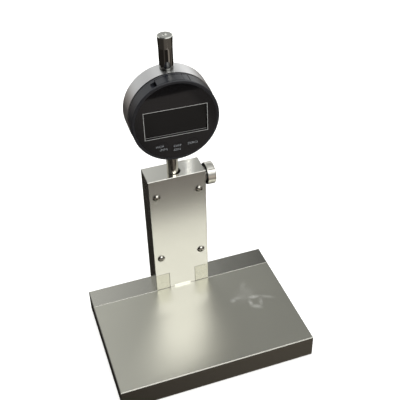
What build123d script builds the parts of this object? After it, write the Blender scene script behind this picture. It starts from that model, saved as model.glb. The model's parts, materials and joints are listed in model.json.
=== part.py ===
from build123d import *
import math
import os

# Road marking thickness gauge: a steel foot plate with an upright column behind it.
# A slide in the column drops to the road behind the marking, and a digital indicator,
# clamped in the top of the column, reads how far the slide stands below the foot plate.
# Millimetres. +Z is up, the reader stands on the -Y side, +X is to the reader's right.
# The origin is on the underside, in the middle of the gauge's footprint.

# Foot plate and the bar behind it
base_width = 140.0
plate_depth = 83.0
bar_depth = 17.3
base_thickness = 18.0
base_edge = 0.5
seam_edge = 0.12

# Column
column_width = 41.5
column_depth = 18.0
column_height = 102.0
column_edge = 0.35
column_foot_edge = 0.3
column_head = 18.0
leg_height = 14.9

# Cover, let into the column's front, with a tongue that runs down between the legs
cover_thickness = 2.0
cover_edge = 0.3
tongue_gap = 0.3
leg_top_gap = 0.2
foot_clearance = 0.1
insert_width = 12.8
insert_height = 1.8

# Measuring slide and its stop pin
slide_width = 20.0
slide_depth = 10.0
slide_length = 88.0
slide_edge = 0.6
slide_foot_edge = 0.3
slide_gap = 0.2
slide_drop = 8.0
slide_rise = 4.5
stop_pin_radius = 2.0
stop_pin_z = 60.0
stop_pin_reach = 8.0
stop_pin_play = 0.1

# Cover screws, pan head M3
cover_screw_x = 15.4
cover_screw_low = 31.4
cover_screw_drop = 14.1
cover_screw_radius = 1.5
cover_screw_head = 2.85
cover_screw_head_height = 1.9
cover_screw_thread = 7.0

# Screws that hold the column from beneath, socket head M5
column_screw_x = 15.5
column_screw_radius = 2.5
column_screw_head = 4.25
column_screw_head_height = 5.0
column_screw_thread = 14.0

# Screws and dowels that join bar and plate, socket head M6
bar_screw_x = 50.0
bar_screw_radius = 3.0
bar_screw_head = 5.0
bar_screw_head_height = 6.0
bar_screw_thread = 16.0
dowel_x = 30.0
dowel_radius = 3.0
dowel_length = 24.0

# Fits
thread_gap = 0.06
hole_gap = 0.25
head_gap = 0.15
slide_fit = 0.05
board_gap = 0.25
cut_over = 1.0

# Indicator clamp: bore, pad and thumb screw
stem_radius = 4.0
stem_from_front = 7.5
bore_radius = 4.75
clamp_drop = 8.0
clamp_thread_radius = 2.5
pad_length = 3.0
knob_radius = 8.0
knob_thickness = 6.4
knob_stand_off = 1.4
knob_edge = 0.7
knob_neck_radius = 5.2
knob_neck_gap = 0.25

# Digital indicator. Its own frame has its origin in the middle of the dial, on the
# spindle's axis. Distances called back and front are measured forward of that axis.
dial_above_column = 50.4
dial_turn = -2.0
shell_radius = 29.1
shell_back = -6.6
shell_front = 7.0
shell_wall = 2.6
shell_edge = 0.4
boss_width = 14.0
boss_height = 8.0
post_radius = 2.9

rear_cover_rim = 1.7
rear_cover_thickness = 2.4
rear_cover_seat = 2.0
rear_cover_edge = 0.4
rear_cover_gap = 0.08
rear_screw_inset = 4.7
rear_screw_radius = 1.0
rear_screw_head = 1.9
rear_screw_head_height = 1.1
rear_screw_thread = 15.3

bezel_step = 0.45
bezel_front = 17.6
bezel_round = 0.6
bezel_wall = 2.2
bezel_ledge_depth = 1.2
bezel_ledge_width = 0.5
bezel_groove_width = 0.6
bezel_groove_depth = 0.9
face_inset = 1.95
face_thickness = 1.2
face_gap = 0.06
window_x = -0.1
window_z = -0.2
window_side = 6.25
window_above = 17.15
window_round = 0.6

stem_below = 35.0
stem_inside = 7.0
stem_edge = 0.5
spindle_radius = 2.25
spindle_above = 7.1
spindle_edge = 0.4
spindle_flat = 1.6
bush_radius = 3.0
bush_length = 5.4
tip_radius = 2.0
tip_ball = 1.5
tip_length = 8.0
tip_cone = 3.5
tip_gap = 0.3
tip_thread = 1.25
tip_thread_length = 3.5

cap_radius = 4.55
cap_flare_radius = 4.9
cap_straight = 14.2
cap_length = 22.1
cap_edge = 0.5
cap_bore = 2.9
cap_roof = 2.5
cap_spigot_radius = 3.4
cap_spigot = 4.3
cap_dimple_radius = 1.6
cap_dimple_depth = 0.6

lcd_margin = 0.8
lcd_thickness = 1.8
connector_height = 2.0
connector_inset = 0.6
connector_margin = 2.0
board_thickness = 1.6
board_front = 11.4
board_from_tray = 1.1
sensor_thickness = 1.0
sensor_post_gap = 1.0
sensor_gap = 0.3
scale_width = 7.0
scale_low = -10.0
scale_high = 13.5
scale_thickness = 0.9

key_share = 0.155
key_gap = 0.1
key_proud = 0.1
key_flange = 0.7
key_flange_thickness = 0.6
key_travel = 0.4
key_stem_radius = 1.6
switch_width = 4.0
switch_height = 1.3
unit_key_inset = 6.5
unit_key_angle = 240.0
power_key_inset = 6.7
power_key_angle = 271.0
zero_key_inset = 5.4
zero_key_angle = 300.0

tray_left = -10.2
tray_right = 10.6
tray_back = 9.3
tray_floor = 0.9
tray_gap = 0.35
tray_wall = 1.5
notch_width = 3.4
notch_depth = 1.0
notch_back = 10.7
notch_front = 16.3
cell_radius = 5.8
cell_thickness = 5.0
cell_edge = 0.4
cell_gap = 0.12
cell_inset = 9.85
contact_thickness = 0.25
contact_width = 2.4
contact_spread = 3.5
contact_foot = 5.0

spring_radius = 1.6
spring_wire = 0.28
spring_turns = 9
spring_x = -5.5
guide_pin_radius = 0.8
guide_pin_reach = 9.4
guide_pin_z = 6.0
rail_play = 0.1
rail_wall = 1.0
rail_web = 0.6
rail_over = 1.5

# Places that follow from the sizes above
seam_y = (plate_depth - column_depth) / 2
column_front = seam_y
column_back = seam_y + column_depth
base_top = base_thickness
column_top = base_top + column_height
way_width = slide_width + 2 * slide_gap
way_depth = cover_thickness + slide_depth + 2 * slide_gap
way_top = column_top - column_head
tongue_width = way_width - 2 * tongue_gap
cover_screw_heights = (base_top + cover_screw_low, column_top - cover_screw_drop)
bar_mid_y = seam_y + bar_depth / 2
stem_x = -(bore_radius - stem_radius - slide_fit)
stem_y = column_front + stem_from_front
clamp_z = column_top - clamp_drop
dial_z = column_top + dial_above_column
shell_inside = shell_radius - shell_wall
boss_face = shell_inside - boss_height
rear_cover_radius = shell_radius - rear_cover_rim
rear_screw_ring = rear_cover_radius - rear_screw_inset
bezel_radius = shell_radius - bezel_step
face_radius = bezel_radius - face_inset
face_back = bezel_front - face_thickness
window_width = 2 * (face_radius - window_side)
window_height = 2 * (face_radius - window_above)
board_back = board_front - board_thickness
board_radius = bezel_radius - bezel_wall - board_gap
lcd_back = face_back - lcd_thickness
tray_front = face_back - tray_gap
tray_mid = (tray_left + tray_right) / 2
cell_z = bezel_radius - cell_inset
tray_bottom = cell_z - cell_radius - tray_floor
board_top = tray_bottom - board_from_tray
tip_low = slide_length + tip_gap - dial_z
spindle_low = tip_low + tip_length
spindle_top = shell_radius + spindle_above
key_radius = face_radius * key_share
key_polar_places = {
    "unit_key": (unit_key_inset, unit_key_angle),
    "power_key": (power_key_inset, power_key_angle),
    "zero_key": (zero_key_inset, zero_key_angle),
}
both_sides = (-1, 1)


def block(x0, x1, y0, y1, z0, z1):
    size = (x1 - x0, y1 - y0, z1 - z0)
    return Pos((x0 + x1) / 2, (y0 + y1) / 2, (z0 + z1) / 2) * Box(*size)


def upright(radius, z0, z1, x=0.0, y=0.0):
    return Pos(x, y, (z0 + z1) / 2) * Cylinder(radius, z1 - z0)


def rod_along_x(radius, x0, x1, y, z):
    return Pos((x0 + x1) / 2, y, z) * Rot(0, 90, 0) * Cylinder(radius, x1 - x0)


def rod_along_y(radius, y0, y1, x, z):
    return Pos(x, (y0 + y1) / 2, z) * Rot(90, 0, 0) * Cylinder(radius, y1 - y0)


def dial_disc(radius, back, front, x=0.0, z=0.0):
    """A disc of the indicator between two distances in front of the spindle's axis."""
    return rod_along_y(radius, -front, -back, x, z)


def dial_block(x0, x1, back, front, z0, z1):
    return block(x0, x1, -front, -back, z0, z1)


def on_stem(piece):
    """Puts a piece of the indicator on the stem's axis, turned a little in its clamp."""
    return Pos(stem_x, stem_y, dial_z) * Rot(0, 0, dial_turn) * piece


def round_edges(solid):
    return solid.edges().filter_by(GeomType.CIRCLE)


def key_place(name):
    """The key's middle, measured in from the face's rim."""
    inset, angle = key_polar_places[name]
    radius = face_radius - inset
    return radius * math.cos(math.radians(angle)), radius * math.sin(math.radians(angle))


def socket_screw(radius, head, tall, length):
    """A socket head screw along Z, with the head's underside at 0 and the shank below it."""
    body = upright(radius, -length, 0) + upright(head, 0, tall)
    socket = Pos(0, 0, tall) * extrude(RegularPolygon(radius, 6), -tall / 2)
    return body - socket


def pan_screw(radius, head, tall, length):
    """A pan head screw along Z, with the head's underside at 0 and the shank below it."""
    shaped = upright(head, 0, tall)
    shaped = chamfer(round_edges(shaped).sort_by(Axis.Z)[-1], tall / 2)
    return upright(radius, -length, 0) + shaped


def base_plate():
    """The flat foot that stands on the marking."""
    front = seam_y - plate_depth
    mid = base_thickness / 2
    body = block(-base_width / 2, base_width / 2, front, seam_y, 0, base_thickness)
    long_edges = body.edges().filter_by(Axis.X).sort_by(Axis.Y)
    body = chamfer(long_edges[:2], base_edge)
    body = chamfer(body.edges().filter_by(Axis.X).sort_by(Axis.Y)[-2:], seam_edge)
    side_edges = body.edges().filter_by(Axis.Y)
    body = chamfer(side_edges, base_edge)
    for side in both_sides:
        body -= rod_along_y(bar_screw_radius + thread_gap, seam_y - bar_screw_thread - hole_gap, seam_y,
                            side * bar_screw_x, mid)
        body -= rod_along_y(dowel_radius + thread_gap, seam_y - dowel_length / 2 - hole_gap, seam_y,
                            side * dowel_x, mid)
    return body


def rear_bar():
    """The bar behind the plate. It carries the column and lets the slide pass."""
    back = seam_y + bar_depth
    mid = base_thickness / 2
    body = block(-base_width / 2, base_width / 2, seam_y, back, 0, base_thickness)
    body = chamfer(body.edges().filter_by(Axis.X).sort_by(Axis.Y)[:2], seam_edge)
    body = chamfer(body.edges().filter_by(Axis.X).sort_by(Axis.Y)[-2:], base_edge)
    body = chamfer(body.edges().filter_by(Axis.Y), base_edge)
    body -= block(-way_width / 2, way_width / 2, seam_y - cut_over, seam_y + way_depth, -cut_over,
                  base_thickness + cut_over)
    for side in both_sides:
        x = side * bar_screw_x
        body -= rod_along_y(bar_screw_radius + hole_gap, seam_y - cut_over, back + cut_over, x, mid)
        body -= rod_along_y(bar_screw_head + head_gap, back - bar_screw_head_height - hole_gap,
                            back + cut_over, x, mid)
        body -= rod_along_y(dowel_radius + thread_gap, seam_y - cut_over,
                            seam_y + dowel_length / 2 + hole_gap, side * dowel_x, mid)
        x = side * column_screw_x
        body -= upright(column_screw_radius + hole_gap, -cut_over, base_thickness + cut_over, x, bar_mid_y)
        body -= upright(column_screw_head + head_gap, -cut_over, column_screw_head_height + hole_gap,
                        x, bar_mid_y)
    return body


def base_screws():
    y = seam_y + bar_depth - bar_screw_head_height - hole_gap
    length = y - seam_y + bar_screw_thread
    screw = socket_screw(bar_screw_radius, bar_screw_head, bar_screw_head_height, length)
    return [Pos(side * bar_screw_x, y, base_thickness / 2) * Rot(-90, 0, 0) * screw for side in both_sides]


def base_dowels():
    front = seam_y - dowel_length / 2
    return [rod_along_y(dowel_radius, front, front + dowel_length, side * dowel_x, base_thickness / 2)
            for side in both_sides]


def column_block():
    """One milled block: slideway open to the front, recess for the cover, bore for the stem."""
    half = column_width / 2
    recess = column_front + cover_thickness
    body = block(-half, half, column_front, column_back, base_top, column_top)
    body = chamfer(body.edges().filter_by(Axis.Z) + body.edges().group_by(Axis.Z)[-1], column_edge)
    body = chamfer(body.edges().group_by(Axis.Z)[0], column_foot_edge)
    body -= block(-half - cut_over, half + cut_over, column_front - cut_over, recess,
                  base_top + leg_height, column_top + cut_over)
    body -= block(-way_width / 2, way_width / 2, column_front - cut_over, column_front + way_depth,
                  base_top - cut_over, way_top)
    body -= upright(bore_radius, way_top - cut_over, column_top + cut_over, 0, stem_y)
    body -= rod_along_x(clamp_thread_radius + slide_fit, 0, half + cut_over, stem_y, clamp_z)
    body -= rod_along_y(stop_pin_radius, column_front + way_depth - cut_over, column_back + cut_over,
                        0, stop_pin_z)
    for side in both_sides:
        for z in cover_screw_heights:
            body -= rod_along_y(cover_screw_radius + thread_gap, recess - cut_over,
                                recess + cover_screw_thread, side * cover_screw_x, z)
        body -= upright(column_screw_radius + thread_gap, base_top - cut_over,
                        base_top + column_screw_thread + hole_gap, side * column_screw_x, bar_mid_y)
    return body


def column_screws():
    z = column_screw_head_height + hole_gap
    length = base_top - z + column_screw_thread
    screw = socket_screw(column_screw_radius, column_screw_head, column_screw_head_height, length)
    return [Pos(side * column_screw_x, bar_mid_y, z) * Rot(180, 0, 0) * screw for side in both_sides]


def front_cover():
    """The cover closes the slideway; its tongue reaches down between the legs."""
    half = column_width / 2
    back = column_front + cover_thickness
    low = base_top + leg_height + leg_top_gap
    panel = block(-half, half, column_front, back, low, column_top)
    front = panel.faces().sort_by(Axis.Y)[0]
    panel = chamfer(front.edges().sort_by(Axis.Z)[1:], cover_edge)
    tongue = block(-tongue_width / 2, tongue_width / 2, column_front, back, base_top + foot_clearance,
                   low + cut_over)
    notch = insert_width / 2 + foot_clearance
    body = panel + tongue
    body -= block(-notch, notch, column_front - cut_over, back + cut_over, base_top - cut_over,
                  base_top + insert_height + foot_clearance)
    for side in both_sides:
        for z in cover_screw_heights:
            body -= rod_along_y(cover_screw_radius + hole_gap, column_front - cut_over, back + cut_over,
                                side * cover_screw_x, z)
    return body


def cover_screws():
    length = cover_thickness + cover_screw_thread - hole_gap
    screw = pan_screw(cover_screw_radius, cover_screw_head, cover_screw_head_height, length)
    return [Pos(side * cover_screw_x, column_front, z) * Rot(90, 0, 0) * screw
            for side in both_sides for z in cover_screw_heights]


def foot_insert():
    half = insert_width / 2
    return block(-half, half, column_front, column_front + cover_thickness, base_top,
                 base_top + insert_height)


def measuring_slide():
    """The foot that drops to the road. A window in it runs on the stop pin."""
    front = column_front + cover_thickness + slide_gap
    half = slide_width / 2
    body = block(-half, half, front, front + slide_depth, 0, slide_length)
    body = chamfer(body.edges().filter_by(Axis.Z) + body.edges().group_by(Axis.Z)[-1], slide_edge)
    body = chamfer(body.edges().group_by(Axis.Z)[0], slide_foot_edge)
    reach = stop_pin_radius + stop_pin_play
    low = stop_pin_z - slide_rise - reach
    high = stop_pin_z + slide_drop + reach
    window = Plane.XZ * Rot(0, 0, 90) * SlotOverall(high - low, 2 * reach)
    cutter = extrude(window, slide_depth, both=True)
    return body - Pos(0, front + slide_depth / 2, (low + high) / 2) * cutter


def stop_pin():
    front = column_front + way_depth - slide_gap - stop_pin_reach
    return rod_along_y(stop_pin_radius, front, column_back, 0, stop_pin_z)


def clamp_pad():
    x0 = stem_x + stem_radius + slide_fit
    return rod_along_x(clamp_thread_radius, x0, x0 + pad_length, stem_y, clamp_z)


def thumb_screw():
    x0 = stem_x + stem_radius + pad_length + 2 * slide_fit
    face = column_width / 2
    start = face + knob_stand_off
    knob = rod_along_x(knob_radius, start, start + knob_thickness, stem_y, clamp_z)
    knob = chamfer(round_edges(knob), knob_edge)
    neck = rod_along_x(knob_neck_radius, face + knob_neck_gap, start + cut_over, stem_y, clamp_z)
    shank = rod_along_x(clamp_thread_radius, x0, start + cut_over, stem_y, clamp_z)
    return knob + neck + shank


def corner_places():
    """The four places where long screws hold cover, case and front ring together."""
    for corner in range(4):
        angle = math.radians(45 + 90 * corner)
        yield rear_screw_ring * math.cos(angle), rear_screw_ring * math.sin(angle)


def corner_posts(back, front, inside):
    """Posts for the long screws, each tied to the wall beside it and cut to that wall."""
    reach = inside / rear_screw_ring
    posts = [dial_disc(post_radius, back, front, x * share, z * share)
             for x, z in corner_places() for share in (1, (1 + reach) / 2)]
    limit = dial_disc(inside, back, front)
    return [post & limit for post in posts]


def case_shell():
    """The round metal case: a ring with an upper and a lower boss for the moving rod."""
    seat = shell_back + rear_cover_seat
    body = dial_disc(shell_radius, shell_back, shell_front)
    body = chamfer(round_edges(body).sort_by(Axis.Y)[-1], shell_edge)
    body -= dial_disc(shell_inside, shell_back - cut_over, shell_front + cut_over)
    limit = dial_disc(shell_radius - shell_wall / 2, seat, shell_front)
    for side in both_sides:
        z0, z1 = sorted((side * boss_face, side * shell_radius))
        body += dial_block(-boss_width / 2, boss_width / 2, seat, shell_front, z0, z1) & limit
    for post in corner_posts(seat, shell_front, shell_radius - shell_wall / 2):
        body += post
    body -= dial_disc(rear_cover_radius + rear_cover_gap, shell_back - cut_over, seat)
    body -= upright(stem_radius + slide_fit, -shell_radius - cut_over, -shell_radius + stem_inside)
    body -= upright(spindle_radius + slide_fit, -shell_radius, 0)
    body -= upright(bush_radius + slide_fit, 0, shell_radius)
    body -= upright(cap_spigot_radius + slide_fit, shell_radius - cap_spigot - hole_gap,
                    shell_radius + cut_over)
    for x, z in corner_places():
        body -= dial_disc(rear_screw_radius + hole_gap, seat - cut_over, shell_front + cut_over, x, z)
    return body


def rear_cover():
    seat = shell_back + rear_cover_seat
    back = seat - rear_cover_thickness
    body = dial_disc(rear_cover_radius, back, seat)
    body = chamfer(round_edges(body).sort_by(Axis.Y)[-1], rear_cover_edge)
    for x, z in corner_places():
        body -= dial_disc(rear_screw_radius + hole_gap, back - cut_over, seat + cut_over, x, z)
        body -= dial_disc(rear_screw_head + head_gap, back - cut_over, back + rear_screw_head_height, x, z)
    return body


def rear_cover_screws():
    back = shell_back + rear_cover_seat - rear_cover_thickness
    y = -(back + rear_screw_head_height)
    screw = pan_screw(rear_screw_radius, rear_screw_head, rear_screw_head_height, rear_screw_thread)
    return [Pos(x, y, z) * Rot(-90, 0, 0) * screw for x, z in corner_places()]


def bezel_ring():
    """The moulded front ring, with a seat for the face and a slot for the battery tray."""
    inside = bezel_radius - bezel_wall
    body = dial_disc(bezel_radius, shell_front, bezel_front)
    body = fillet(round_edges(body).sort_by(Axis.Y)[0], bezel_round)
    groove = dial_disc(bezel_radius + cut_over, shell_front - cut_over, shell_front + bezel_groove_width)
    body -= groove - dial_disc(bezel_radius - bezel_groove_depth, shell_front - 2 * cut_over, bezel_front)
    body -= dial_disc(face_radius + face_gap, face_back, bezel_front + cut_over)
    body -= dial_disc(inside, shell_front - cut_over, face_back - bezel_ledge_depth)
    body -= dial_disc(face_radius - bezel_ledge_width, shell_front - cut_over, bezel_front + cut_over)
    for post in corner_posts(shell_front, board_back, bezel_radius - bezel_wall / 2):
        body += post
    for x, z in corner_places():
        body -= dial_disc(rear_screw_radius + thread_gap, shell_front - cut_over, board_back - hole_gap,
                          x, z)
    body -= dial_block(tray_left - tray_gap, tray_right + tray_gap, tray_back - tray_gap, face_back,
                       tray_bottom, bezel_radius + cut_over)
    end = tray_left - notch_width
    floor = math.sqrt(bezel_radius ** 2 - end ** 2) - notch_depth
    body -= dial_block(end, tray_left, notch_back, notch_front, floor, bezel_radius)
    return body


def face_plate():
    """The printed face with its display window and three key holes."""
    body = dial_disc(face_radius, face_back, bezel_front)
    size = (window_width, window_height)
    outline = Plane.XZ * Pos(window_x, window_z) * RectangleRounded(*size, window_round)
    body -= extrude(outline, bezel_front + cut_over)
    for x, z in map(key_place, key_polar_places):
        body -= dial_disc(key_radius + key_gap, face_back - cut_over, bezel_front + cut_over, x, z)
    return body


def lcd_glass():
    half_width = window_width / 2 + lcd_margin
    half_height = window_height / 2 + lcd_margin
    return dial_block(window_x - half_width, window_x + half_width, lcd_back, face_back,
                      window_z - half_height, window_z + half_height)


def display_connectors():
    """Two rubber strips that carry the display's signals from the board to the glass."""
    half_width = window_width / 2 - connector_margin
    reach = window_height / 2 + lcd_margin - connector_inset
    strips = []
    for z0 in (window_z - reach, window_z + reach - connector_height):
        strips.append(dial_block(window_x - half_width, window_x + half_width, board_front, lcd_back,
                                 z0, z0 + connector_height))
    return strips


def display_board():
    body = dial_disc(board_radius, board_back, board_front)
    return body - dial_block(-board_radius, board_radius, board_back - cut_over, board_front + cut_over,
                             board_top, board_radius)


def key_switches():
    half = switch_width / 2
    return [dial_block(x - half, x + half, board_front, board_front + switch_height, z - half, z + half)
            for x, z in map(key_place, key_polar_places)]


def push_key(name):
    """A key with a flange behind the face and a stem that ends just above its switch."""
    x, z = key_place(name)
    flange_front = face_back - slide_fit
    flange_back = flange_front - key_flange_thickness
    stem_back = board_front + switch_height + key_travel + slide_fit
    body = dial_disc(key_radius, flange_back, bezel_front + key_proud, x, z)
    body += dial_disc(key_radius + key_flange, flange_back, flange_front, x, z)
    return body + dial_disc(key_stem_radius, stem_back, flange_front, x, z)


def sensor_board():
    half = rear_screw_ring * math.cos(math.radians(45)) - post_radius - sensor_post_gap
    reach = boss_face - sensor_gap
    back = spindle_flat + scale_thickness + sensor_gap
    return dial_block(-half, half, back, back + sensor_thickness, -reach, reach)


def spindle_scale():
    half = scale_width / 2
    return dial_block(-half, half, spindle_flat, spindle_flat + scale_thickness, scale_low, scale_high)


def spindle():
    """The rod that follows the slide, with a flat for the scale and a thread for the tip."""
    body = upright(spindle_radius, spindle_low, spindle_top)
    body = chamfer(round_edges(body).sort_by(Axis.Z)[-1], spindle_edge)
    body -= dial_block(-scale_width, scale_width, spindle_flat, spindle_radius + cut_over,
                       scale_low - hole_gap, scale_high + hole_gap)
    body -= upright(tip_thread + thread_gap, spindle_low - cut_over,
                    spindle_low + tip_thread_length + hole_gap)
    return body - rod_along_x(guide_pin_radius, -spindle_radius - cut_over, 0, 0, guide_pin_z)


def contact_tip():
    top = tip_low + tip_length
    shoulder = tip_low + tip_ball + tip_cone
    outline = Polyline(
        (0, tip_low + tip_ball), (tip_ball, tip_low + tip_ball), (tip_radius, shoulder), (tip_radius, top),
        (tip_thread, top), (tip_thread, top + tip_thread_length), (0, top + tip_thread_length), close=True)
    turned = revolve(Plane.XZ * make_face(outline), Axis.Z)
    return turned + Pos(0, 0, tip_low + tip_ball) * Sphere(tip_ball)


def guide_pin():
    return rod_along_x(guide_pin_radius, -guide_pin_reach, 0, 0, guide_pin_z)


def guide_rail():
    """A channel on the rear cover that keeps the pin, and with it the rod, from turning."""
    play = guide_pin_radius + rail_play
    low = guide_pin_z - slide_drop - rail_over
    high = guide_pin_z + slide_rise + rail_over
    end = -guide_pin_reach - rail_play
    mouth = end + rail_wall + guide_pin_radius
    rail = dial_block(end - rail_web, mouth, shell_back + rear_cover_seat, play + rail_wall, low, high)
    return rail - dial_block(end, mouth + cut_over, -play, play, low - cut_over, high + cut_over)


def return_spring():
    """A tension spring between the lower boss and the guide pin, of six-sided wire."""
    low = -boss_face + slide_fit + spring_wire
    high = guide_pin_z - guide_pin_radius - slide_fit - spring_wire
    path = Helix(pitch=(high - low) / spring_turns, height=high - low, radius=spring_radius)
    wire = Plane(origin=path @ 0, z_dir=path % 0) * RegularPolygon(spring_wire, 6)
    return Pos(spring_x, 0, low) * sweep(wire, path, is_frenet=True)


def stem_bush():
    low = -shell_radius - stem_below
    top = -shell_radius + stem_inside
    body = upright(stem_radius, low, top)
    body = chamfer(round_edges(body).sort_by(Axis.Z)[0], stem_edge)
    return body - upright(spindle_radius + slide_fit, low - cut_over, top + cut_over)


def upper_bush():
    body = upright(bush_radius, boss_face, boss_face + bush_length)
    return body - upright(spindle_radius + slide_fit, boss_face - cut_over, shell_radius)


def dust_cap():
    """The tube on top of the case that the rod rises into, flared at its dimpled head."""
    bottom = shell_radius - cap_spigot
    top = shell_radius + cap_length
    outline = Polyline(
        (0, bottom), (cap_spigot_radius, bottom), (cap_spigot_radius, shell_radius),
        (cap_radius, shell_radius), (cap_radius, shell_radius + cap_straight),
        (cap_flare_radius, top - cap_edge),
        (cap_flare_radius - cap_edge, top), (cap_dimple_radius, top), (0, top - cap_dimple_depth),
        close=True)
    body = revolve(Plane.XZ * make_face(outline), Axis.Z)
    return body - upright(cap_bore, bottom - cut_over, top - cap_roof)


def battery_tray():
    """The drawer for the button cell; its outside carries on the ring's curve."""
    body = dial_block(tray_left, tray_right, tray_back, tray_front, tray_bottom, bezel_radius)
    body = body & dial_disc(bezel_radius, tray_back, tray_front)
    return body - dial_disc(cell_radius + cell_gap, tray_back - cut_over, tray_front - tray_wall,
                            tray_mid, cell_z)


def button_cell():
    front = tray_front - tray_wall - slide_fit
    body = dial_disc(cell_radius, front - cell_thickness, front, tray_mid, cell_z)
    return chamfer(round_edges(body), cell_edge)


def battery_contacts():
    """Two sprung strips that stand on the board's back and reach behind the cell."""
    front = tray_back - slide_fit
    back = front - contact_thickness
    foot = board_top - contact_foot
    contacts = []
    for side in both_sides:
        x0 = tray_mid + side * contact_spread - contact_width / 2
        x1 = x0 + contact_width
        strip = dial_block(x0, x1, back, front, foot, cell_z)
        contacts.append(strip + dial_block(x0, x1, back, board_back, foot, foot + contact_width))
    return contacts


stand_pieces = (base_plate, rear_bar, base_screws, base_dowels, column_block, column_screws, front_cover,
                cover_screws, foot_insert, stop_pin, measuring_slide, clamp_pad, thumb_screw)
indicator_pieces = (case_shell, rear_cover, rear_cover_screws, bezel_ring, face_plate, lcd_glass,
                    display_connectors, display_board, key_switches, sensor_board, stem_bush, upper_bush,
                    dust_cap, battery_contacts, guide_rail, spindle, contact_tip, spindle_scale, guide_pin,
                    return_spring, battery_tray, button_cell)


def write(name, solids):
    """Writes one named piece, or a group of like solids, to its own file."""
    group = solids if isinstance(solids, list) else [solids]
    export_step(Compound(children=group), f"parts/{name}.step")


os.makedirs("parts", exist_ok=True)
for piece in stand_pieces:
    write(piece.__name__, piece())
for piece in indicator_pieces:
    made = piece()
    group = made if isinstance(made, list) else [made]
    write(piece.__name__, [on_stem(solid) for solid in group])
for name in key_polar_places:
    write(name, on_stem(push_key(name)))
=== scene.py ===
# %% [markdown]
# # A gauge for the thickness of road markings
# The object is a small steel instrument: a heavy foot plate, an upright column of brushed steel
# and a round digital indicator clamped in the column's head. Every metal part arrives as an exact
# solid, so this lesson is about finish: what each surface is made of, how it was worked, and which
# small pieces a solid model leaves out. We begin by loading those solids and noting their box.

# %% Load the solids
import json
import math

import bpy
from mathutils import Euler, Matrix, Vector


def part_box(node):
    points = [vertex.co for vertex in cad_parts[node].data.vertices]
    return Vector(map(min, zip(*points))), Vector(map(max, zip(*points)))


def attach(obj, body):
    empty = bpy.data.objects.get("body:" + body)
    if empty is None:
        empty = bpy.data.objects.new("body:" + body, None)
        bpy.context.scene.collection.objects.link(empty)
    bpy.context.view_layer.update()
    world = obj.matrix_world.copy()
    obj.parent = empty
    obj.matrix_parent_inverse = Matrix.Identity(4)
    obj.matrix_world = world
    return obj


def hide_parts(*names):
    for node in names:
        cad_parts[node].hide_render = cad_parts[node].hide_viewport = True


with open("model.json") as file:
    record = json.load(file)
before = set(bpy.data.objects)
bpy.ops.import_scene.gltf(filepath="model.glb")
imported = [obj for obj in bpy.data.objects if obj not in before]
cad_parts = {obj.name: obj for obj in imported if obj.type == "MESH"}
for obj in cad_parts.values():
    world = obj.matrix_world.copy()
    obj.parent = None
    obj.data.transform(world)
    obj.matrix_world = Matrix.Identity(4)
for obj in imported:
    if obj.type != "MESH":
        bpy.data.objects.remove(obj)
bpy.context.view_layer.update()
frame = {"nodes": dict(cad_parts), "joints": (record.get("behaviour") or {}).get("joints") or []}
nodes = frame["nodes"]

# %% [markdown]
# ## Working in millimetres
# Blender counts in metres, but a machinist counts in millimetres. One name for a millimetre keeps
# every size in this file readable. Two tiny helpers follow: one clears the selection, because an
# operator acts on everything that is selected, and one finds an object that an operator just made.

# %% Millimetres and selection
mm = 0.001


def clear_selection():
    if bpy.context.object and bpy.context.object.mode != "OBJECT":
        bpy.ops.object.mode_set(mode="OBJECT")
    bpy.ops.object.select_all(action="DESELECT")


def just_made(name):
    made = bpy.context.object
    made.name = name
    made.data.name = name
    return made


def select_only(piece):
    clear_selection()
    piece.select_set(True)
    bpy.context.view_layer.objects.active = piece


def settle(piece):
    """Moves the place, turn and size of a finished piece into its mesh."""
    select_only(piece)
    bpy.ops.object.transform_apply(location=True, rotation=True, scale=True)


print("one millimetre is", mm, "of a Blender unit")

# %% [markdown]
# ## The camera
# A product picture starts with its viewpoint. This one looks down on the gauge from the front and a
# little from the left, from about half a metre away. The lens is long enough to keep the column
# nearly parallel, yet the foot plate still narrows towards the back. A hand-held camera is never
# quite level, so a small roll is part of the view.

# %% Camera
camera_at = Vector((-108.5, -353.3, 414.0)) * mm
camera_turn = math.radians(-17.88)
camera_tilt = math.radians(90 - 38.15)
camera_roll = math.radians(-1.85)
lens = 65.55
sensor = 36.0

camera_data = bpy.data.cameras.new("camera")
camera_data.lens = lens
camera_data.sensor_width = sensor
camera = bpy.data.objects.new("camera", camera_data)
bpy.context.collection.objects.link(camera)
aim = Euler((camera_tilt, 0, camera_turn)).to_matrix()
camera.rotation_euler = (aim @ Matrix.Rotation(camera_roll, 3, "Z")).to_euler()
camera.location = camera_at
bpy.context.scene.camera = camera
bpy.context.scene.view_settings.view_transform = "Standard"
print("camera distance in mm:", round(camera_at.length / mm))

# %% [markdown]
# ## Floor and light
# Metal shows its surroundings rather than its own colour, so most of the lighting work is deciding
# what each face mirrors. A big soft panel in front and above is what the lower part of the column
# sees, by way of the polished foot plate. A small window behind and a narrow strip above it give the
# streaks on the column's top and on the case. A fourth panel overhead only lights the floor, so it is
# hidden from reflections. The floor stays out of the reflections too: a real workbench is darker than
# a studio sheet, and the lower half of the world stands in for it.

# %% Floor and light
clear_selection()
bpy.ops.mesh.primitive_plane_add(size=6.0, location=(0, 0, 0))
floor = just_made("floor")
floor.location.z = -0.02 * mm
floor.visible_glossy = False


def toward(turn, lift):
    """A direction from the gauge in degrees: turn from +Y towards +X, lift above the horizon."""
    a, e = math.radians(turn), math.radians(lift)
    return Vector((math.sin(a) * math.cos(e), math.cos(a) * math.cos(e), math.sin(e)))


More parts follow.
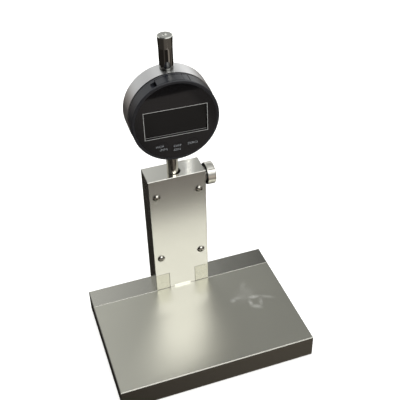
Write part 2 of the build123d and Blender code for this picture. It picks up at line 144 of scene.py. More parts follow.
def panel(name, turn, lift, distance, width, height, radiance, glossy=True):
    """A soft light panel that faces the gauge from that direction."""
    away = toward(turn, lift)
    light = bpy.data.lights.new(name, "AREA")
    light.shape = "RECTANGLE"
    light.size = width
    light.size_y = height
    light.energy = radiance * math.pi * width * height
    lamp = bpy.data.objects.new(name, light)
    lamp.location = away * distance
    lamp.rotation_euler = away.to_track_quat("Z", "Y").to_euler()
    lamp.visible_glossy = glossy
    bpy.context.collection.objects.link(lamp)


panel("front_panel", turn=165, lift=47.0, distance=1.5, width=1.1, height=0.69, radiance=2.72)
panel("back_window", turn=15.8, lift=23.2, distance=1.5, width=0.16, height=0.12, radiance=2.2)
panel("back_strip", turn=16.9, lift=35, distance=1.5, width=0.005, height=0.5, radiance=2.1)
panel("floor_panel", turn=-30, lift=75, distance=2.2, width=2.4, height=2.4, radiance=2.2,
      glossy=False)
print("light panels:", len(bpy.data.lights))

# %% [markdown]
# ## Colour and nodes
# Paint charts and screens give colours as sRGB hex values, while a renderer adds up light in linear
# values. One function makes that step for every colour in the file. A second function adds a node
# with its settings and links, so that each material below reads like a recipe.

# %% Colour and nodes
def linear(hex_value):
    """An sRGB hex value such as B4B2AA as the linear colour that shaders expect."""
    channels = [int(hex_value[i:i + 2], 16) / 255 for i in (0, 2, 4)]
    return [c / 12.92 if c <= 0.04045 else ((c + 0.055) / 1.055) ** 2.4 for c in channels] + [1.0]


def add_node(tree, kind, inputs=None, **settings):
    made = tree.nodes.new(kind)
    for name, value in settings.items():
        setattr(made, name, value)
    for name, value in (inputs or {}).items():
        if isinstance(value, bpy.types.NodeSocket):
            tree.links.new(value, made.inputs[name])
        else:
            made.inputs[name].default_value = value
    return made


def ramp(tree, value, start, end, low=0.0, high=1.0):
    """Eases from low to high while value goes from start to end."""
    made = add_node(tree, "ShaderNodeMapRange", {
        "Value": value, "From Min": start, "From Max": end, "To Min": low, "To Max": high},
        interpolation_type="SMOOTHSTEP")
    return made.outputs[0]


def combine(tree, operation, first, second):
    return add_node(tree, "ShaderNodeMath", {0: first, 1: second}, operation=operation).outputs[0]


def start_material(name, hex_value, metallic, roughness):
    material = bpy.data.materials.new(name)
    material.use_nodes = True
    shader = material.node_tree.nodes["Principled BSDF"]
    shader.inputs["Base Color"].default_value = linear(hex_value)
    shader.inputs["Metallic"].default_value = metallic
    shader.inputs["Roughness"].default_value = roughness
    return material, material.node_tree, shader


print("mid grey 808080 is", round(linear("808080")[0], 3), "in linear light")

# %% [markdown]
# ## The surroundings
# A picture of a real room could light the gauge, but then nobody could say what each face mirrors. So
# the world is built from directions alone, and it holds from every side. A soft spot in it is the
# angle between the view and one direction, eased from an inner to an outer angle. A spot can add
# light, or it can dim what is there, as a person or a dark corner does.

# %% World helpers
world = bpy.data.worlds.new("room")
bpy.context.scene.world = world
world.use_nodes = True
sky = world.node_tree
direction = add_node(sky, "ShaderNodeTexCoord").outputs["Generated"]
split = add_node(sky, "ShaderNodeSeparateXYZ", {"Vector": direction}).outputs


def spot(turn, lift, inner, outer, strength):
    """A soft round spot in the world, full inside the inner angle and gone outside the outer one."""
    aligned = add_node(sky, "ShaderNodeVectorMath", {0: direction, 1: toward(turn, lift)},
                       operation="DOT_PRODUCT")
    edges = [math.cos(math.radians(angle)) for angle in (outer, inner)]
    return ramp(sky, aligned.outputs["Value"], *edges, 0.0, strength)


def dimmed(light, shade):
    return combine(sky, "MULTIPLY", light, combine(sky, "SUBTRACT", 1.0, shade))


def lit(light, more, share=1.0):
    """Light with more added to it, where more counts only as far as share says."""
    return combine(sky, "ADD", light, combine(sky, "MULTIPLY", more, share))


print("straight up is", tuple(round(c, 2) for c in toward(0, 90)))

# %% [markdown]
# Above the horizon is a pale room, brightest overhead. The spots are listed in the order in which
# they act, each with its turn, its lift, its inner and outer angle and its strength. The last ones
# are the dim corner that the right half of the plate mirrors and the shade to the left of the dial.

# %% The room above the horizon
room = ramp(sky, split["Z"], 0.5, 0.72, 0.66, 0.92)
room_spots = (
    ("lamp", 37, 10, 6, 20, 0.6),
    ("lamp", 0, 46, 6, 22, 0.17),
    ("shade", 16, 26, 3, 9, 0.45),
    ("lamp", 16.9, 35, 0.2, 1.4, 0.12),
    ("shade", -26, 40, 6, 18, 0.4),
    ("shade", 0, 82, 8, 22, 0.9),
    ("shade", 34, 47, 6, 26, 0.74),
    ("shade", 28, 39.5, 2, 9, 0.85),
    ("shade", -118, 36, 30, 55, 0.9),
)
for kind, *numbers in room_spots:
    room = lit(room, spot(*numbers)) if kind == "lamp" else dimmed(room, spot(*numbers))
in_front = ramp(sky, split["Y"], 0.2, -0.2, 0.0, 0.75)
near_horizon = ramp(sky, split["Z"], 0.5, 0.3)
room = dimmed(room, combine(sky, "MULTIPLY", in_front, near_horizon))
print("spots in the room:", len(room_spots))

# %% [markdown]
# Below the horizon is a dark bench. An upright face that is seen from above mirrors it, so the bench
# draws the column and the cap. A lit stretch of table in front shows in the column's upper half, and
# three thin bars of light stand in the chromed tube. Depth is how far below the horizon a direction
# points, from 0 to -1, and a bar is cut out of it between two depths and two headings. Its numbers
# are its two headings in degrees and its glow.

# %% The bench below the horizon
heading = combine(sky, "ARCTAN2", split["X"], split["Y"])
depth = split["Z"]


def between(value, low, high, soft):
    """One between two bounds, eased to nothing outside them."""
    return combine(sky, "MULTIPLY", ramp(sky, value, low - soft, low),
                   ramp(sky, value, high + soft, high))


def stretch_of_heading(start, end):
    return between(heading, math.radians(start), math.radians(end), math.radians(3))


paler_far_off = ramp(sky, depth, -0.40, -0.2, 0.015, 0.22)
near_table = between(depth, -1.0, -0.58, 0.01)
far_table = between(depth, -0.53, -0.49, 0.01)
straight_below = ramp(sky, depth, -0.85, -0.97, 0.0, 0.16)
low_in_front = ramp(sky, depth, -0.42, -0.3, 0.0, 0.45)
bench = lit(paler_far_off, near_table, spot(152, -34, 6, 26, 0.16))
bench = lit(bench, far_table, ramp(sky, split["X"], -0.65, -0.3, 0.015, 0.075))
bench = lit(bench, straight_below)
bench = lit(bench, low_in_front, ramp(sky, split["Y"], -0.5, -0.75))
glowing_bars = ((133, 158, 0.19), (96, 112, 0.09), (-150, -135, 0.03))
for start, end, glow in glowing_bars:
    bar = between(depth, -0.47, -0.41, 0.01)
    bench = lit(bench, combine(sky, "MULTIPLY", bar, stretch_of_heading(start, end)), glow)
print("bars of light:", len(glowing_bars))

# %% [markdown]
# The two halves meet in a soft horizon. The bench is a little warmer than the room, as wood and paper
# are. The floor under the gauge is plain white paper that glows faintly, so that no hard shadow
# crosses it.

# %% The horizon and the paper
above = ramp(sky, split["Z"], -0.09, 0.03)
blend = add_node(sky, "ShaderNodeMix", {"Factor": above, "A": bench, "B": room}, data_type="FLOAT")
tint = add_node(sky, "ShaderNodeMix", {
    "Factor": above, "A": linear("FFF1E4"), "B": linear("FEFFFD")}, data_type="RGBA")
background = sky.nodes["Background"]
sky.links.new(blend.outputs["Result"], background.inputs["Strength"])
sky.links.new(tint.outputs["Result"], background.inputs["Color"])

paper, tree, shader = start_material("white_paper", "F4F4F2", 0.0, 0.9)
shader.inputs["Emission Color"].default_value = linear("FFFFFF")
shader.inputs["Emission Strength"].default_value = 0.38
floor.data.materials.append(paper)
print("nodes in the world:", len(sky.nodes))

# %% [markdown]
# The glossy face looks down at the table too, and it shows where the lit paper ends: a straight edge
# about thirty centimetres in front of the gauge. An edge that near has to be a real plane, because
# the face and the cap above it look at different sides of it. The plane glows only for reflections,
# a little less at its near end and at its sides.

# %% The lit end of the paper
clear_selection()
bpy.ops.mesh.primitive_plane_add(size=1.0)
lit_paper = just_made("lit_paper")
paper_width, paper_depth = 170, 140
paper_middle = Vector((30, -228, 0))
lit_paper.scale = (paper_width * mm, paper_depth * mm, 1)
lit_paper.location = paper_middle * mm
lit_paper.rotation_euler.z = math.radians(-7.2)
for unseen in ("visible_camera", "visible_diffuse", "visible_shadow", "visible_transmission"):
    setattr(lit_paper, unseen, False)
glow, tree, shader = start_material("lit_paper", "000000", 0.0, 1.0)
place = add_node(tree, "ShaderNodeTexCoord").outputs["Object"]
along = add_node(tree, "ShaderNodeSeparateXYZ", {"Vector": place}).outputs
far_end = ramp(tree, along["Y"], -0.5, 0.3, 0.48, 0.4)
side = combine(tree, "MULTIPLY", ramp(tree, along["X"], -0.25, 0.05, 0.3, 1.0),
               ramp(tree, along["X"], 0.33, 0.42, 1.0, 0.6))
shader.inputs["Emission Color"].default_value = linear("FFF4EC")
tree.links.new(combine(tree, "MULTIPLY", far_end, side), shader.inputs["Emission Strength"])
lit_paper.data.materials.append(glow)
print("the lit paper ends", round(paper_depth / 2 - paper_middle.y), "mm in front of the gauge")

# %% [markdown]
# ## Steel surfaces
# Ground steel carries fine straight scratches from the wheel. They could be painted as an image, but
# a noise that is stretched along one axis gives scratches of any size from every side. They are tiny
# bumps. Real ones are a few hundredths of a millimetre wide, and they are drawn five to ten times
# coarser here, or nothing of them would be left at this picture size. Scratches also blur a
# reflection more one way than the other, which is what the shader's anisotropy does. The tangent
# says which way the blur is long.

# %% Steel with a grain
def object_place(tree):
    return add_node(tree, "ShaderNodeTexCoord").outputs["Object"]


def height_in(tree):
    return add_node(tree, "ShaderNodeSeparateXYZ", {"Vector": object_place(tree)}).outputs["Z"]


def grained_metal(name, hex_value, roughness, grain, depth, vary=0.03, patch=25.0, blur=None,
                  stretch=0.6):
    """A metal whose scratches run along the axis where grain is smallest, in scratches per mm."""
    material, tree, shader = start_material(name, hex_value, 1.0, roughness)
    place = object_place(tree)
    per_metre = [g / mm for g in grain]
    stretched = add_node(tree, "ShaderNodeMapping", {"Vector": place, "Scale": per_metre})
    scratches = add_node(tree, "ShaderNodeTexNoise", {
        "Vector": stretched.outputs[0], "Scale": 1.0, "Detail": 3.0, "Roughness": 0.6})
    clouds = add_node(tree, "ShaderNodeTexNoise", {
        "Vector": place, "Scale": 1 / (patch * mm), "Detail": 2.0})
    mixed = add_node(tree, "ShaderNodeMix", {
        "Factor": 0.5, "A": scratches.outputs["Fac"], "B": clouds.outputs["Fac"]}, data_type="FLOAT")
    rough = add_node(tree, "ShaderNodeMapRange", {
        "Value": mixed.outputs[0], "From Min": 0.3, "From Max": 0.7,
        "To Min": roughness - vary, "To Max": roughness + vary})
    bump = add_node(tree, "ShaderNodeBump", {
        "Height": scratches.outputs["Fac"], "Strength": 0.6, "Distance": depth * mm})
    tree.links.new(rough.outputs[0], shader.inputs["Roughness"])
    tree.links.new(bump.outputs[0], shader.inputs["Normal"])
    if blur:
        shader.inputs["Anisotropic"].default_value = stretch
        way = add_node(tree, "ShaderNodeCombineXYZ", {"X": blur[0], "Y": blur[1], "Z": blur[2]})
        tree.links.new(way.outputs[0], shader.inputs["Tangent"])
    return material


print("millimetres per metre:", round(1 / mm))

# %% [markdown]
# The foot plate was ground and then rubbed over, so it mirrors the column softly, and more so from
# side to side. The bar behind the seam was ground the other way. Cover and block are brushed from
# side to side, which draws reflections out upwards. A blur direction must never lie along a face's
# own normal, so the one of the plate is a hair off the axis.

# %% The steels of the stand
across = (0, 1, 0)
sideways = (1, 0.02, 0)
upward = (0, 0, 1)
ground_steel = grained_metal("ground_steel", "CBCABF", 0.32, (0.25, 5, 5), 0.0006, vary=0.015,
                             blur=sideways, stretch=0.5)
bar_steel = grained_metal("ground_bar_steel", "C0BFB7", 0.24, (5, 0.25, 5), 0.003,
                          blur=across, stretch=0.2)
cover_steel = grained_metal("brushed_cover_steel", "CCCBC7", 0.26, (0.2, 6, 6), 0.004, vary=0.015,
                            patch=60.0, blur=upward)
block_steel = grained_metal("brushed_block_steel", "BDBCB2", 0.26, (0.2, 6, 6), 0.004, blur=upward)
hardened_steel = grained_metal("hardened_steel", "B9B8B4", 0.3, (6, 6, 0.3), 0.01)
bright_steel = grained_metal("bright_steel", "D2D1CC", 0.16, (3, 3, 3), 0.004)
bright_insert = grained_metal("bright_insert", "F4F4F0", 0.24, (0.3, 4, 4), 0.003)
print("steels:", len([m for m in bpy.data.materials if "steel" in m.name]))

# %% [markdown]
# The small parts have finishes of their own: a satin case, a polished stem, chrome on the cap, nickel
# on the screws. Brass and bronze are for the parts that rub, and screws from below are oxide black.

# %% The metals of the small parts
satin_aluminium = grained_metal("satin_aluminium", "E3E3E4", 0.36, (4, 0.6, 4), 0.004)
polished_stem = grained_metal("polished_stem", "CFCBC0", 0.2, (2, 2, 5), 0.002)
chrome = grained_metal("chrome_plate", "ECECE6", 0.05, (2, 2, 2), 0.001, vary=0.02)
nickel = grained_metal("nickel_plate", "BEBBB2", 0.2, (4, 4, 4), 0.002)
knurl_steel = grained_metal("knurled_steel", "F0EEE6", 0.32, (3, 3, 3), 0.004)
brass = grained_metal("turned_brass", "C8A557", 0.25, (0.4, 5, 5), 0.006)
bronze = grained_metal("turned_bronze", "A87F4C", 0.3, (4, 4, 0.6), 0.006)
# Oxide black for the screws from below; the knob's faces towards the column use it as painted shade.
oxide_black_and_shade = grained_metal("oxide_black_and_shade", "2B2B2C", 0.42, (5, 5, 5), 0.006)
print("materials so far:", len(bpy.data.materials))

# %% [markdown]
# The column's top was fly-cut and polished. The chamfer below a top face gets a darker colour, a
# painted shade that dims its highlight. A solid has one material, so a height in the piece's own
# frame decides where one finish ends and the next begins. That keeps the boundary in place however
# the piece is seen or moved. The last few millimetres of the cap's tube above the case are darkened
# in the same way, a painted shade at the tube's foot.

# %% Tops, chamfers and the foot of the cap
def finish_top(material, height, hex_value, roughness):
    """Above a height the same steel is polished: brighter, and its blur is even all round."""
    tree = material.node_tree
    inputs = tree.nodes["Principled BSDF"].inputs
    on_top = ramp(tree, height_in(tree), height - 0.1 * mm, height - 0.05 * mm)
    changes = (("Roughness", inputs["Roughness"].links[0].from_socket, roughness, "FLOAT"),
               ("Anisotropic", inputs["Anisotropic"].default_value, 0.0, "FLOAT"),
               ("Base Color", tuple(inputs["Base Color"].default_value), linear(hex_value), "RGBA"))
    for name, side_value, top_value, kind in changes:
        chosen = add_node(tree, "ShaderNodeMix", {
            "Factor": on_top, "A": side_value, "B": top_value}, data_type=kind)
        tree.links.new(chosen.outputs["Result"], inputs[name])


def tint_where(material, share, hex_value):
    tree = material.node_tree
    colour = tree.nodes["Principled BSDF"].inputs["Base Color"]
    before = colour.links[0].from_socket if colour.links else tuple(colour.default_value)
    tone = add_node(tree, "ShaderNodeMix", {
        "Factor": share, "A": before, "B": linear(hex_value)}, data_type="RGBA")
    tree.links.new(tone.outputs["Result"], colour)


# A darker colour on the band just below a top edge: painted shade that dims the chamfer's highlight.
def shade_edge(material, top, width, hex_value):
    tree = material.node_tree
    level = height_in(tree)
    edge_shade = combine(tree, "MULTIPLY", ramp(tree, level, top - width - 0.05 * mm, top - width),
                      ramp(tree, level, top - 0.02 * mm, top - 0.07 * mm))
    tint_where(material, edge_shade, hex_value)


column_top = 120 * mm
plate_top = 18 * mm
for material in (cover_steel, block_steel):
    finish_top(material, column_top, "E6E5DE", 0.06)
    shade_edge(material, column_top, 0.45 * mm, "8C8B85")
shade_edge(ground_steel, plate_top, 0.6 * mm, "A5A49D")
shade_edge(bar_steel, plate_top, 0.6 * mm, "8A8983")
# The chrome gets darker towards the case: painted shade at the foot of the cap's tube.
cap_foot, shade_fades_at = 199.5 * mm, 205 * mm
painted_foot_shade = ramp(chrome.node_tree, height_in(chrome.node_tree), shade_fades_at, cap_foot)
tint_where(chrome, painted_foot_shade, "6A6A66")
print("the column's top and the plate's top in mm:", round(column_top / mm), round(plate_top / mm))

# %% [markdown]
# ## Marks of use
# The plate isn't factory clean. Road paint dust has left a pale smear on its right half, a faint
# film with a few stronger strokes where something dragged through it. Texture paint would do, but
# strokes that are numbers can be moved and softened later. Each one is a soft oval. The strongest
# one wins at every point, a noise pattern breaks it up, and so much of a chalky white film lies over
# the steel.

# %% A pale smear on the plate
# Each stroke has its place x and y, its length and width in mm, its turn in degrees and its strength.
strokes = (
    (40.0, 6.2, 12.0, 9.5, 33, 0.08),
    (29.7, 2.6, 3.0, 3.2, 17, 0.21),
    (33.7, 3.8, 5.8, 2.6, -9, 0.16),
    (45.2, 1.1, 6.6, 2.6, -8, 0.29),
    (55.1, -2.2, 9.1, 2.2, -27, 0.12),
    (41.3, -3.5, 5.2, 2.2, -88, 0.27),
    (44.0, -8.6, 6.1, 3.0, -32, 0.24),
    (48.9, -5.2, 6.5, 2.2, -106, 0.14),
    (41.5, 13.8, 7.4, 3.4, -124, 0.10),
)
tree = ground_steel.node_tree
place = object_place(tree)
film = 0.0
for x, y, length, width, turn, strength in strokes:
    oval = add_node(tree, "ShaderNodeMapping", {
        "Vector": place, "Location": (x * mm, y * mm, plate_top),
        "Rotation": (0, 0, math.radians(turn)),
        "Scale": Vector((length, width, 10)) * mm}, vector_type="TEXTURE")
    reach = add_node(tree, "ShaderNodeVectorMath", {0: oval.outputs[0]}, operation="LENGTH")
    film = combine(tree, "MAXIMUM", film, ramp(tree, reach.outputs["Value"], 1.0, 0.1, 0.0, strength))
wisps = add_node(tree, "ShaderNodeTexNoise", {
    "Vector": place, "Scale": 260.0, "Detail": 3.0, "Distortion": 0.8})
film = combine(tree, "MULTIPLY", film, ramp(tree, wisps.outputs["Fac"], 0.25, 0.6, 0.45, 1.0))
dust = add_node(tree, "ShaderNodeBsdfDiffuse", {"Color": linear("E8E8E4")})
mix = add_node(tree, "ShaderNodeMixShader", {
    0: film, 1: tree.nodes["Principled BSDF"].outputs[0], 2: dust.outputs[0]})
tree.links.new(mix.outputs[0], tree.nodes["Material Output"].inputs["Surface"])
print("strokes in the smear:", len(strokes))

# %% [markdown]
# ## Plastics, glass and boards
# The indicator's front ring is moulded black plastic with a fine spark-eroded texture, which a small
# noise in the bumps and in the roughness imitates. Its face is a glossy printed sheet, the display
# behind it a dark glass, and the keys are a slightly softer black. None of them is truly black: a
# surface that sends nothing back looks like a hole.

# %% Plastics
def moulded(name, hex_value, roughness, grain, depth, specular=0.5):
    """A plastic with a grain of that size, raised by that depth, both in mm."""
    material, tree, shader = start_material(name, hex_value, 0.0, roughness)
    texture = add_node(tree, "ShaderNodeTexNoise", {
        "Vector": object_place(tree), "Scale": 1 / (grain * mm), "Detail": 2.0})
    bump = add_node(tree, "ShaderNodeBump", {
        "Height": texture.outputs["Fac"], "Strength": 0.4, "Distance": depth * mm})
    rough = add_node(tree, "ShaderNodeMapRange", {
        "Value": texture.outputs["Fac"], "From Min": 0.3, "From Max": 0.7,
        "To Min": roughness * 0.9, "To Max": roughness * 1.1})
    tree.links.new(rough.outputs[0], shader.inputs["Roughness"])
    tree.links.new(bump.outputs[0], shader.inputs["Normal"])
    shader.inputs["Specular IOR Level"].default_value = specular
    return material


black_plastic = moulded("black_moulded_plastic", "12151D", 0.36, 0.35, 0.006, specular=0.75)
gloss_face = moulded("gloss_printed_face", "08080A", 0.04, 2.5, 0.001)
key_plastic = moulded("key_plastic", "0A0A0D", 0.16, 1.2, 0.002)
display_glass = moulded("display_glass", "070808", 0.06, 3.0, 0.001, specular=0.33)
board_mask = moulded("green_solder_mask", "1E5B38", 0.35, 0.6, 0.01)
copper_scale = moulded("copper_scale", "A9762F", 0.35, 0.4, 0.01)
connector_rubber = moulded("connector_rubber", "26282C", 0.6, 0.5, 0.01)
print("materials:", len(bpy.data.materials))

# %% [markdown]
# ## Dressing the solids
# Each solid keeps its shape and only changes its material. Materials could be given one by one, but a
# table of names shows at a glance which piece wears which finish, and its length can be checked
# against the number of solids.

# %% Dress the solids
finishes = {
    ground_steel: ("base_plate",),
    bar_steel: ("rear_bar",),
    cover_steel: ("front_cover",),
    block_steel: ("column_block",),
    hardened_steel: ("measuring_slide", "contact_tip", "stop_pin"),
    bright_steel: ("spindle", "guide_pin", "guide_rail", "base_dowels", "return_spring"),
    satin_aluminium: ("case_shell",),
    polished_stem: ("stem_bush",),
    chrome: ("dust_cap", "button_cell"),
    nickel: ("cover_screws", "rear_cover_screws"),
    knurl_steel: ("thumb_screw",),
    brass: ("clamp_pad", "battery_contacts"),
    bronze: ("upper_bush",),
    oxide_black_and_shade: ("base_screws", "column_screws"),
    black_plastic: ("bezel_ring", "rear_cover", "battery_tray", "key_switches"),
    gloss_face: ("face_plate",),
    key_plastic: ("unit_key", "power_key", "zero_key"),
    display_glass: ("lcd_glass",),
    board_mask: ("display_board", "sensor_board"),
    copper_scale: ("spindle_scale",),
    connector_rubber: ("display_connectors",),
    bright_insert: ("foot_insert",),
}
for material, names in finishes.items():
    for name in names:
        for material_slot in nodes[name].material_slots:
            material_slot.material = material
dressed = sum(len(names) for names in finishes.values())
print("dressed", dressed, "of", len(nodes), "solids")

# %% [markdown]
# ## The printed face
# The window has a thin white outline, and the three keys carry short legends. Both are flat ink. A
# pale line along the bottom of the glass, in the same ink, is a painted highlight: the glint on the
# edge of the glass pane. All of them could be part of a texture, but then they would blur up close,
# so they are thin meshes that lie on the face. The dial is turned two degrees in its clamp, and one
# matrix carries everything from the dial's own frame to its place.

# %% The window's outline and the painted glint of the glass
swivel = next(j for j in frame["joints"] if j["name"] == "indicator_swivel")
dial_turn = math.radians(-2.0)
dial_height = 170.4 * mm
stem_place = Vector((swivel["pos_m"][0], swivel["pos_m"][1], dial_height))
dial = Matrix.Translation(stem_place) @ Matrix.Rotation(dial_turn, 4, "Z")
stand_up = Matrix.Rotation(math.radians(90), 4, "X")
face_front = 17.6
glass_front = 16.4
ink_lift = 0.03
outline_and_glint_ink = start_material("outline_and_glint_ink", "ACACAA", 0.0, 0.55)[0]


def on_dial(piece, x, z, front):
    """Stands a flat piece up on the dial, x to the right and z up from the dial's middle, in mm."""
    piece.matrix_world = dial @ Matrix.Translation(Vector((x, -front, z)) * mm) @ stand_up
    settle(piece)
    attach(piece, "indicator")


def flat_strip(name, width, height, ink):
    """A flat rectangle around the origin, in mm."""
    clear_selection()
    bpy.ops.mesh.primitive_plane_add(size=1.0)
    strip = just_made(name)
    strip.scale = (width * mm, height * mm, 1)
    settle(strip)
    strip.data.materials.append(ink)
    return strip


left, right, low, high = -20.65, 20.45, -9.85, 9.45
line = 0.3
# The glass line is a painted highlight: the glint on the lower edge of the glass pane.
glint_low, glint_high = low + 0.42, low + 0.66
window_lines = (
    ("window_line_top", left - line, right + line, high, high + line, face_front),
    ("window_line_low", left - line, right + line, low - line, low, face_front),
    ("window_line_left", left - line, left, low, high, face_front),
    ("window_line_right", right, right + line, low, high, face_front),
    ("glass_edge_glint", left + line, right - line, glint_low, glint_high, glass_front),
)
for name, x0, x1, z0, z1, front in window_lines:
    bar = flat_strip(name, x1 - x0, z1 - z0, outline_and_glint_ink)
    on_dial(bar, (x0 + x1) / 2, (z0 + z1) / 2, front + ink_lift)
print("lines around the window:", len(window_lines))

# %% [markdown]
# Words start as a text object, which Blender turns into a mesh. The letters are a little thinner
# than the font's own, as printed ones are, and each word is stretched to the width of its print. A
# legend rides on its key, so it goes in when the key is pressed.

# %% The legends on the keys
legend_ink = start_material("legend_ink", "A0A4A8", 0.0, 0.55)[0]
letter_height = 2.2
letter_thinning = -0.035
key_front = 17.7
legends = (
    ("legend_inch", "INCH", -11.6, -16.6, 5.0, "unit_key"),
    ("legend_mm", "(MM)", -9.2, -19.2, 5.0, "unit_key"),
    ("legend_off", "OFF", 0.1, -18.0, 5.2, "power_key"),
    ("legend_on", "ON", -0.3, -20.9, 4.4, "power_key"),
    ("legend_zero", "ZERO", 10.1, -17.8, 6.7, "zero_key"),
)
for name, words, x, z, width, key in legends:
    clear_selection()
    bpy.ops.object.text_add()
    text = just_made(name)
    text.data.body = words
    text.data.align_x = "CENTER"
    text.data.align_y = "CENTER"
    text.data.size = letter_height * mm
    text.data.offset = letter_thinning * mm
    bpy.ops.object.convert(target="MESH")
    text = bpy.context.object
    text.scale.x = width * mm / text.dimensions.x
    settle(text)
    text.data.materials.clear()
    text.data.materials.append(legend_ink)
    on_dial(text, x, z, key_front + ink_lift)
    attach(text, key)
print("legends:", len(legends))

# %% [markdown]
# ## Joint lines
# The tray for the battery is part of the ring, and at this size its joints are finer than a pixel. A
# real gap of that width would vanish or flicker in a render, so a thin dark strip lies over each
# joint, as the shadow in it does. The two legs of the column get such a line where they meet the
# plate. Shadow has no gloss, so these two materials mirror nothing.

# %% Joint lines
joint_shadow = start_material("joint_shadow", "0B0B0D", 0.0, 0.8)[0]
leg_shadow = start_material("leg_shadow", "5B584F", 0.0, 0.8)[0]
for shadow in (joint_shadow, leg_shadow):
    shadow.node_tree.nodes["Principled BSDF"].inputs["Specular IOR Level"].default_value = 0.0
ring_outside = 28.65
cover_front = 32.5
way_half, leg_end = 10.2, 20.4
line_height = 0.3


def joint_line(name, across_dial, width, back, front, body):
    """A dark strip along the ring, across_dial to the right of the dial's middle, in mm."""
    strip = flat_strip(name, width, front - back, joint_shadow)
    lean = math.asin(across_dial / ring_outside)
    reach = ring_outside + ink_lift
    place = Vector((reach * math.sin(lean), -(back + front) / 2, reach * math.cos(lean))) * mm
    strip.matrix_world = dial @ Matrix.Translation(place) @ Matrix.Rotation(lean, 4, "Y")
    settle(strip)
    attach(strip, body)


for name, side in (("joint_leg_left", -1), ("joint_leg_right", 1)):
    strip = flat_strip(name, leg_end - way_half, line_height, leg_shadow)
    strip.rotation_euler.x = math.radians(90)
    middle = side * (way_half + leg_end) / 2
    strip.location = Vector((middle, cover_front - ink_lift, 18.2)) * mm
    settle(strip)
    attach(strip, "base")
joint_line("joint_right", 10.78, 0.5, 9.0, 16.4, "indicator")
joint_line("joint_lid", 6.9, 0.16, 9.5, 15.9, "battery_tray")

# %% [markdown]
# ## Screws with a cross recess
# The solids leave a screw's recess out, yet four dark little crosses are what makes the cover look
# screwed on. A bump map can't show such a deep cut, so it is cut for real. A head is the cap of a
# ball, trimmed to the head's diameter, and two tapered bars cut the cross. The same recipe, at
# another size, makes the four screws in the back of the case. Each screw stops at a different turn,
# as screws do.

# %% A cross recess screw
def ball_radius(head, tall):
    """The radius of the ball whose cap is that tall where it is as wide as the head."""
    return (head * head + tall * tall) / (2 * tall)


def cut_away(piece, cutter, operation="DIFFERENCE"):
    select_only(piece)
    modifier = piece.modifiers.new("cut", "BOOLEAN")
    modifier.object = cutter
    modifier.operation = operation
    modifier.solver = "EXACT"
    bpy.ops.object.modifier_apply(modifier=modifier.name)
    bpy.data.objects.remove(cutter)


def cross_screw(name, head, tall, shank, length, turn):
    """A screw along Z with its head's underside at 0. All sizes in mm, turn in degrees."""
    ball = ball_radius(head, tall)
    clear_selection()
    bpy.ops.mesh.primitive_uv_sphere_add(segments=48, ring_count=40, radius=ball * mm,
                                         location=(0, 0, (tall - ball) * mm))
    screw = just_made(name)
    settle(screw)
    clear_selection()
    bpy.ops.mesh.primitive_cylinder_add(vertices=48, radius=0.99 * head * mm, depth=tall * mm,
                                        location=(0, 0, tall / 2 * mm))
    trim = just_made(name + "_trim")
    settle(trim)
    cut_away(screw, trim, "INTERSECT")
    for angle in (0, 90):
        clear_selection()
        bpy.ops.mesh.primitive_cone_add(vertices=4, radius1=0.25 * head * mm,
                                        radius2=0.62 * head * mm, depth=0.8 * tall * mm,
                                        location=(0, 0, 0.75 * tall * mm))
        bar = just_made(name + "_bar")
        bar.rotation_euler.z = math.radians(45)
        settle(bar)
        bar.scale.y = 0.2
        bar.rotation_euler.z = math.radians(angle)
        settle(bar)
        cut_away(screw, bar)
    clear_selection()
    bpy.ops.mesh.primitive_cylinder_add(vertices=24, radius=shank * mm, depth=length * mm,
                                        location=(0, 0, -length / 2 * mm))
    stem = just_made(name + "_shank")
    settle(stem)
    select_only(screw)
    stem.select_set(True)
    bpy.ops.object.join()
    screw.rotation_euler.z = math.radians(turn)
    settle(screw)
    bpy.ops.object.shade_smooth_by_angle(angle=math.radians(35))
    screw.data.materials.append(nickel)
    return screw


cover_head, cover_head_height = 2.85, 1.9
print("radius of a cover screw's ball in mm:", round(ball_radius(cover_head, cover_head_height), 2))

# %% [markdown]
# Four screws hold the cover. They are made lying on their backs at the origin, stood up and put in
# their places, and then joined, because the solids count the four as one piece as well. The dressed
# piece replaces that solid, which is hidden.

# %% Screws in the cover
def one_object(pieces, name):
    select_only(pieces[0])
    for piece in pieces:
        piece.select_set(True)
    bpy.ops.object.join()
    return just_made(name)


cover_screws = []
for x, z, turn in ((-15.4, 49.4, 20), (15.4, 49.4, 65), (-15.4, 105.9, 40), (15.4, 105.9, 10)):
    screw = cross_screw("cover_head", cover_head, cover_head_height, shank=1.5, length=8.7, turn=turn)
    screw.matrix_world = Matrix.Translation(Vector((x, cover_front, z)) * mm) @ stand_up
    settle(screw)
    cover_screws.append(screw)
cover_screws = one_object(cover_screws, "cover_cross_screws")
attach(cover_screws, "base")
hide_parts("cover_screws")
print("faces in the four cover screws:", len(cover_screws.data.polygons))

# %% [markdown]
# The back of the case gets the same screws at a smaller size. They are long, because they reach
# through the case into the front ring. They face the other way, and they turn with the dial, so the
# dial's matrix places them.

# %% Screws in the back of the case
screw_circle = 22.7
rear_seat = 5.9
face_back = Matrix.Rotation(math.radians(-90), 4, "X")
rear_screws = []
for number, angle in enumerate((45, 135, 225, 315)):
    turn = 25 + 40 * number
    screw = cross_screw("rear_head", head=1.9, tall=1.1, shank=1.0, length=15.3, turn=turn)
    x = screw_circle * math.cos(math.radians(angle))
    z = screw_circle * math.sin(math.radians(angle))
    screw.matrix_world = dial @ Matrix.Translation(Vector((x, rear_seat, z)) * mm) @ face_back
    settle(screw)
    rear_screws.append(screw)
rear_screws = one_object(rear_screws, "rear_cross_screws")
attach(rear_screws, "indicator")
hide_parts("rear_cover_screws")
print("faces in the four rear screws:", len(rear_screws.data.polygons))

# %% [markdown]
# ## The knurled thumb screw
# A knurling wheel presses small diamonds into the rim of the knob. A displacement map could raise
# them, but the outline of the knob would need a very fine mesh for it. Here the rim is drawn out ring
# by ring, and every second corner, shifted by one from ring to ring, is lifted by little more than a
# tenth of a millimetre.

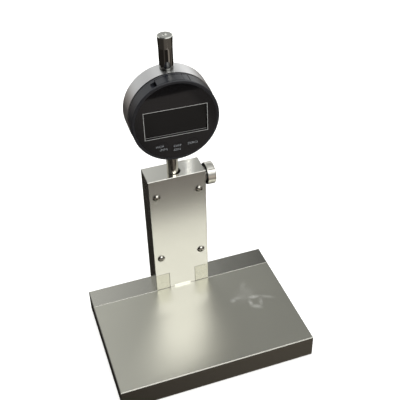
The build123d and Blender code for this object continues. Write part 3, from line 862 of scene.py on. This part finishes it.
# %% Knurled rim
around = 90
rings = 12
knob_radius = 8.0
knurl_height = 0.14
rim_radius = knob_radius - knurl_height
chamfer = 0.6
rim_width = 6.4 - 2 * chamfer
ring_step = rim_width / rings * mm
clear_selection()
bpy.ops.mesh.primitive_circle_add(vertices=around, radius=rim_radius * mm, fill_type="NOTHING")
knob = just_made("knurled_thumb_screw")
bpy.ops.object.mode_set(mode="EDIT")
bpy.ops.mesh.select_all(action="SELECT")
for ring in range(rings):
    bpy.ops.mesh.extrude_region_move(TRANSFORM_OT_translate={"value": (0, 0, ring_step)})
bpy.ops.object.mode_set(mode="OBJECT")
for vertex in knob.data.vertices:
    ring = round(vertex.co.z / ring_step)
    step = round(math.atan2(vertex.co.y, vertex.co.x) / (2 * math.pi) * around)
    vertex.select = (ring + step) % 2 == 0 and 0 < ring < rings
bpy.ops.object.mode_set(mode="EDIT")
grow = knob_radius / rim_radius
bpy.ops.transform.resize(value=(grow, grow, 1), center_override=(0, 0, 0))
print("knurl diamonds:", around * (rings - 1) // 2)

# %% [markdown]
# The rim's two ends are still open. Each is drawn in to a chamfer and closed, the near end with the
# neck that stands off the column, and the shank follows as a plain rod. A turned knob has a shallow
# recess in its outer end. Each step of the outline is a radius and how far the ring is pulled there.

# %% Close the knob
def select_ring(height):
    bpy.ops.mesh.select_all(action="DESELECT")
    bpy.ops.object.mode_set(mode="OBJECT")
    for vertex in knob.data.vertices:
        vertex.select = abs(vertex.co.z - height) < 0.01 * mm
    bpy.ops.object.mode_set(mode="EDIT")


def draw_to(radius_now, radius_next, rise):
    bpy.ops.mesh.extrude_region_move(TRANSFORM_OT_translate={"value": (0, 0, rise * mm)})
    shrink = radius_next / radius_now
    bpy.ops.transform.resize(value=(shrink, shrink, 1), center_override=(0, 0, 0))


steps_out = ((7.3, chamfer), (6.2, 0.0), (5.9, -0.35))
neck_radius, shank_radius = 5.2, 2.5
steps_in = ((7.3, -chamfer), (neck_radius, 0.0), (neck_radius, -1.15), (shank_radius, 0.0),
            (shank_radius, -14.6))
for start, steps in ((rim_width * mm, steps_out), (0.0, steps_in)):
    select_ring(start)
    radius_now = rim_radius
    for radius_next, rise in steps:
        draw_to(radius_now, radius_next, rise)
        radius_now = radius_next
    bpy.ops.mesh.edge_face_add()
bpy.ops.mesh.select_all(action="SELECT")
bpy.ops.mesh.normals_make_consistent(inside=False)
bpy.ops.object.mode_set(mode="OBJECT")
print("thumb screw faces:", len(knob.data.polygons))

# %% [markdown]
# The knob was modelled standing up, so it is laid along X and slid to where the solid's outer face
# is. What looks towards the column gets the oxide black material as painted shade, for the deep shade
# of the gap, and the rest is bright.

# %% Put the thumb screw in its place
knob_low, knob_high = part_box("thumb_screw")
knob_middle = (knob_low + knob_high) / 2
knob_start = knob_high.x - (rim_width + chamfer) * mm
lay_along_x = Matrix.Rotation(math.radians(90), 4, "Y")
knob.matrix_world = Matrix.Translation((knob_start, knob_middle.y, knob_middle.z)) @ lay_along_x
settle(knob)
bpy.ops.object.shade_smooth_by_angle(angle=math.radians(25))
knob.data.materials.append(knurl_steel)
knob.data.materials.append(oxide_black_and_shade)
# Faces towards the column take the dark material: painted shade for the gap between knob and column.
for face in knob.data.polygons:
    face.material_index = 1 if face.normal.x < -0.5 else 0
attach(knob, "thumb_screw")
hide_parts("thumb_screw")
print("black faces towards the column:", sum(face.material_index for face in knob.data.polygons))
